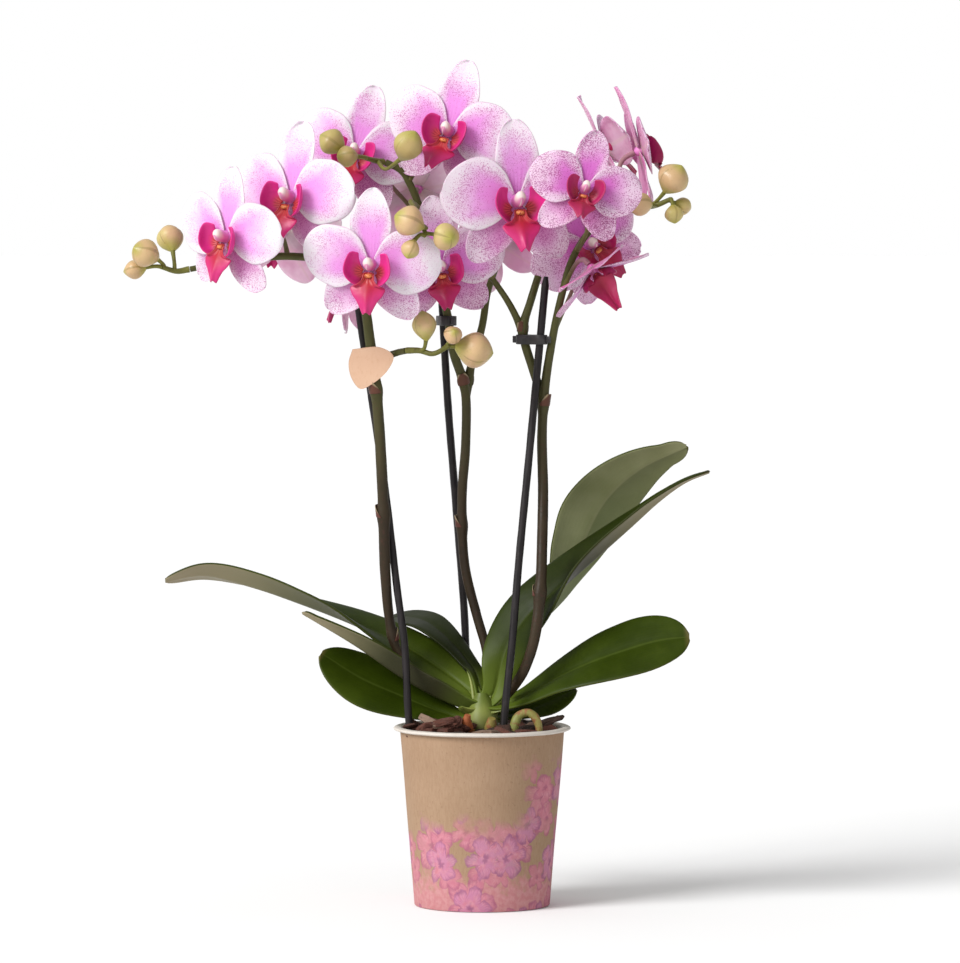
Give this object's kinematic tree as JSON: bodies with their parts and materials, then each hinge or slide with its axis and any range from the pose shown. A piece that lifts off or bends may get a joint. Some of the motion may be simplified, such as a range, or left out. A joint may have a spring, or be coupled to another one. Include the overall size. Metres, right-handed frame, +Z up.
{
  "type": "potted moth orchid",
  "caption": "Moth orchid in flower, on staked arching spikes with buds, above broad leaves in a tapered paper pot of bark.",
  "frame": {"origin": "middle of the pot's underside, on the surface it stands on", "axes": "+Z up, -Y towards the side that the blooms face, +X to the right as seen from there"},
  "size_m": [0.3017, 0.1512, 0.4373],
  "materials": {
    "kraft_paper": "matte",
    "board": "matte",
    "bark": "matte",
    "crown": "satin",
    "root": "satin",
    "leaf": "satin",
    "stake": "satin",
    "clip": "satin",
    "label": "matte",
    "stem": "satin",
    "bud": "satin",
    "petal": "satin",
    "lip": "satin"
  },
  "bodies": {
    "root": {"bark_fill": "bark", "bloom_l1": "petal", "bloom_l1_lip": "lip", "bloom_l2": "petal", "bloom_l2_lip": "lip", "bloom_l3": "petal", "bloom_l3_lip": "lip", "bloom_l4": "petal", "bloom_l4_lip": "lip", "bloom_l5": "petal", "bloom_l5_lip": "lip", "bloom_m1": "petal", "bloom_m1_lip": "lip", "bloom_m2": "petal", "bloom_m2_lip": "lip", "bloom_m3": "petal", "bloom_m3_lip": "lip", "bloom_m4": "petal", "bloom_m4_lip": "lip", "bloom_m5": "petal", "bloom_m5_lip": "lip", "bloom_r1": "petal", "bloom_r1_lip": "lip", "bloom_r2": "petal", "bloom_r2_lip": "lip", "bloom_r3": "petal", "bloom_r3_lip": "lip", "bloom_r4": "petal", "bloom_r4_lip": "lip", "bloom_r5": "petal", "bloom_r5_lip": "lip", "bloom_r6": "petal", "bloom_r6_lip": "lip", "buds_centre": "bud", "buds_centre_low": "bud", "buds_left": "bud", "buds_right": "bud", "buds_top": "bud", "clip_middle": "clip", "clip_right": "clip", "crown": "crown", "label": "label", "leaf_back": "leaf", "leaf_left_long": "leaf", "leaf_left_low": "leaf", "leaf_left_short": "leaf", "leaf_right_folded": "leaf", "leaf_right_low": "leaf", "leaf_right_small": "leaf", "leaf_right_tall": "leaf", "paper_pot": "kraft_paper", "pot_base": "board", "root_loop": "root", "spike_left": "stem", "spike_middle": "stem", "spike_right": "stem", "stake_left": "stake", "stake_middle": "stake", "stake_right": "stake"}
  },
  "joints": []
}
